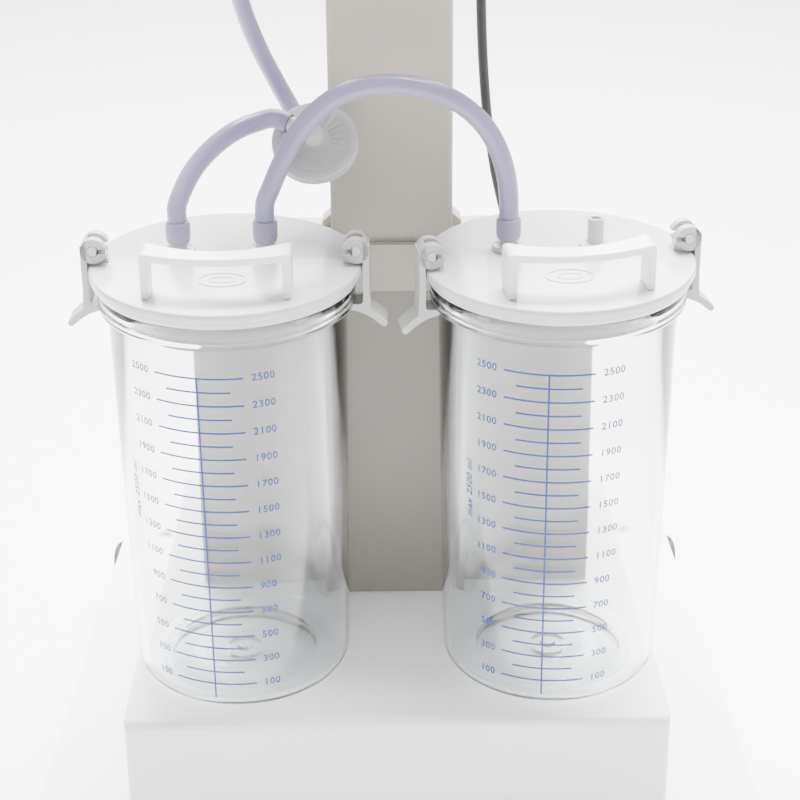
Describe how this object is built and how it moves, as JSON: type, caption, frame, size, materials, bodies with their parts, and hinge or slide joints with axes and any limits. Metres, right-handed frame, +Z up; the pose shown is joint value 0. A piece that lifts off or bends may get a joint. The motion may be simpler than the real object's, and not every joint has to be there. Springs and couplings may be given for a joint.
{
  "type": "suction pump",
  "caption": "Mobile suction pump: a castered base carries a pump housing, a column with a control head and a pair of clear collection jars joined by hoses.",
  "frame": {"origin": "on the floor, under the middle of the bounding box of the pump without its mains lead", "axes": "+Z up, -Y towards the front where the jars stand, +X to the right seen from the front"},
  "size_m": [0.444, 0.461, 0.8579],
  "materials": {
    "white_sheet": "white powder coat, satin",
    "grey_sheet": "warm light grey powder coat, satin",
    "dark_panel": "warm mid grey powder coat, satin",
    "steel": "zinc plated steel",
    "cast_metal": "cast aluminium",
    "head_plastic": "white moulded plastic, fine texture",
    "grey_plastic": "grey moulded plastic",
    "chrome": "bright chrome",
    "dial": "matt white dial plate",
    "lens": "clear flat lens",
    "needle": "red enamel",
    "black_plastic": "black moulded plastic",
    "lid_plastic": "white moulded plastic, glossy",
    "latch_plastic": "off-white moulded plastic",
    "clear_plastic": "clear polycarbonate with a printed blue scale",
    "frosted_plastic": "translucent white plastic",
    "gasket": "translucent silicone",
    "hose": "translucent violet silicone",
    "rubber": "black rubber",
    "tyre": "black rubber tread on a pale blue-grey hub"
  },
  "bodies": {
    "pump_stand": {"base_tray": "white_sheet", "caster_bar_front": "steel", "caster_bar_rear": "steel", "column": "grey_sheet", "cord_gland": "rubber", "filter_front_shell": "frosted_plastic", "filter_hose": "hose", "filter_rear_shell": "frosted_plastic", "float_cage": "frosted_plastic", "gauge_case": "chrome", "gauge_dial": "dial", "gauge_lens": "lens", "head_back_cover": "grey_plastic", "head_case": "head_plastic", "hose_cuff_link_left": "hose", "hose_cuff_link_right": "hose", "hose_cuff_vacuum": "hose", "housing_body": "dark_panel", "housing_cap": "grey_sheet", "jar_left": "clear_plastic", "jar_right": "clear_plastic", "lid_gasket_left": "gasket", "lid_gasket_right": "gasket", "lid_handle_left": "lid_plastic", "lid_handle_right": "lid_plastic", "lid_left": "lid_plastic", "lid_right": "lid_plastic", "link_hose": "hose", "link_port_left": "lid_plastic", "link_port_right": "lid_plastic", "patient_port": "lid_plastic", "power_cord": "rubber", "power_cord_coil": "rubber", "power_plug": "rubber", "pump_cabinet": "white_sheet", "pump_head": "cast_metal", "pump_motor": "cast_metal", "push_handle": "grey_plastic", "regulator_valve": "chrome", "service_door": "white_sheet", "switch_frame": "black_plastic", "vacuum_hose": "hose", "vacuum_inlet": "lid_plastic", "vacuum_port": "lid_plastic"},
    "fork_front_left": {"caster_fork_front_left": "black_plastic"},
    "wheel_front_left": {"caster_wheel_front_left": "tyre"},
    "fork_front_right": {"caster_fork_front_right": "black_plastic"},
    "wheel_front_right": {"caster_wheel_front_right": "tyre"},
    "fork_rear_left": {"caster_fork_rear_left": "black_plastic"},
    "wheel_rear_left": {"caster_wheel_rear_left": "tyre"},
    "fork_rear_right": {"caster_fork_rear_right": "black_plastic"},
    "wheel_rear_right": {"caster_wheel_rear_right": "tyre"},
    "latch_left_outer": {"latch_left_outer": "latch_plastic"},
    "latch_left_inner": {"latch_left_inner": "latch_plastic"},
    "latch_right_outer": {"latch_right_outer": "latch_plastic"},
    "latch_right_inner": {"latch_right_inner": "latch_plastic"},
    "float_ball": {"float_ball": "lid_plastic"},
    "gauge_needle": {"gauge_needle": "needle"},
    "regulator_knob": {"regulator_knob": "black_plastic"},
    "switch_rocker": {"switch_rocker": "black_plastic"}
  },
  "joints": [
    {"name": "swivel_front_left", "type": "hinge", "parent": "pump_stand", "child": "fork_front_left", "pos_m": [-0.188, -0.185, 0.088], "axis": [0, 0, 1], "continuous": true},
    {"name": "roll_front_left", "type": "hinge", "parent": "fork_front_left", "child": "wheel_front_left", "pos_m": [-0.188, -0.1535, 0.036], "axis": [1, 0, 0], "continuous": true},
    {"name": "swivel_front_right", "type": "hinge", "parent": "pump_stand", "child": "fork_front_right", "pos_m": [0.188, -0.185, 0.088], "axis": [0, 0, 1], "continuous": true},
    {"name": "roll_front_right", "type": "hinge", "parent": "fork_front_right", "child": "wheel_front_right", "pos_m": [0.188, -0.1535, 0.036], "axis": [1, 0, 0], "continuous": true},
    {"name": "swivel_rear_left", "type": "hinge", "parent": "pump_stand", "child": "fork_rear_left", "pos_m": [-0.186, 0.1673, 0.088], "axis": [0, 0, 1], "continuous": true},
    {"name": "roll_rear_left", "type": "hinge", "parent": "fork_rear_left", "child": "wheel_rear_left", "pos_m": [-0.19931, 0.19585, 0.036], "axis": [0.9063, 0.4226, 0], "continuous": true},
    {"name": "swivel_rear_right", "type": "hinge", "parent": "pump_stand", "child": "fork_rear_right", "pos_m": [0.186, 0.1673, 0.088], "axis": [0, 0, 1], "continuous": true},
    {"name": "roll_rear_right", "type": "hinge", "parent": "fork_rear_right", "child": "wheel_rear_right", "pos_m": [0.19931, 0.19585, 0.036], "axis": [0.9063, -0.4226, 0], "continuous": true},
    {"name": "open_latch_left_outer", "type": "hinge", "parent": "pump_stand", "child": "latch_left_outer", "pos_m": [-0.16418, -0.11861, 0.444], "axis": [0.0262, 0.9997, 0], "range_deg": [0, 75]},
    {"name": "open_latch_left_inner", "type": "hinge", "parent": "pump_stand", "child": "latch_left_inner", "pos_m": [-0.01982, -0.12239, 0.444], "axis": [-0.0262, -0.9997, 0], "range_deg": [0, 4]},
    {"name": "open_latch_right_outer", "type": "hinge", "parent": "pump_stand", "child": "latch_right_outer", "pos_m": [0.16331, -0.10921, 0.444], "axis": [0.1564, -0.9877, 0], "range_deg": [0, 75]},
    {"name": "open_latch_right_inner", "type": "hinge", "parent": "pump_stand", "child": "latch_right_inner", "pos_m": [0.02069, -0.13179, 0.444], "axis": [-0.1564, 0.9877, 0], "range_deg": [0, 4]},
    {"name": "float_rise", "type": "slide", "parent": "pump_stand", "child": "float_ball", "axis": [0, 0, 1], "range_m": [0, 0.018]},
    {"name": "needle_turn", "type": "hinge", "parent": "pump_stand", "child": "gauge_needle", "pos_m": [-0.055, -0.06866, 0.77146], "axis": [0, -0.9135, 0.4067], "range_deg": [-270, 0]},
    {"name": "regulator_turn", "type": "hinge", "parent": "pump_stand", "child": "regulator_knob", "pos_m": [0.052, -0.0721, 0.78832], "axis": [0, -0.9135, 0.4067], "range_deg": [0, 540]},
    {"name": "switch_rock", "type": "hinge", "parent": "pump_stand", "child": "switch_rocker", "pos_m": [0.052, -0.08655, 0.73127], "axis": [0, 0.4067, 0.9135], "range_deg": [-14, 0]}
  ]
}
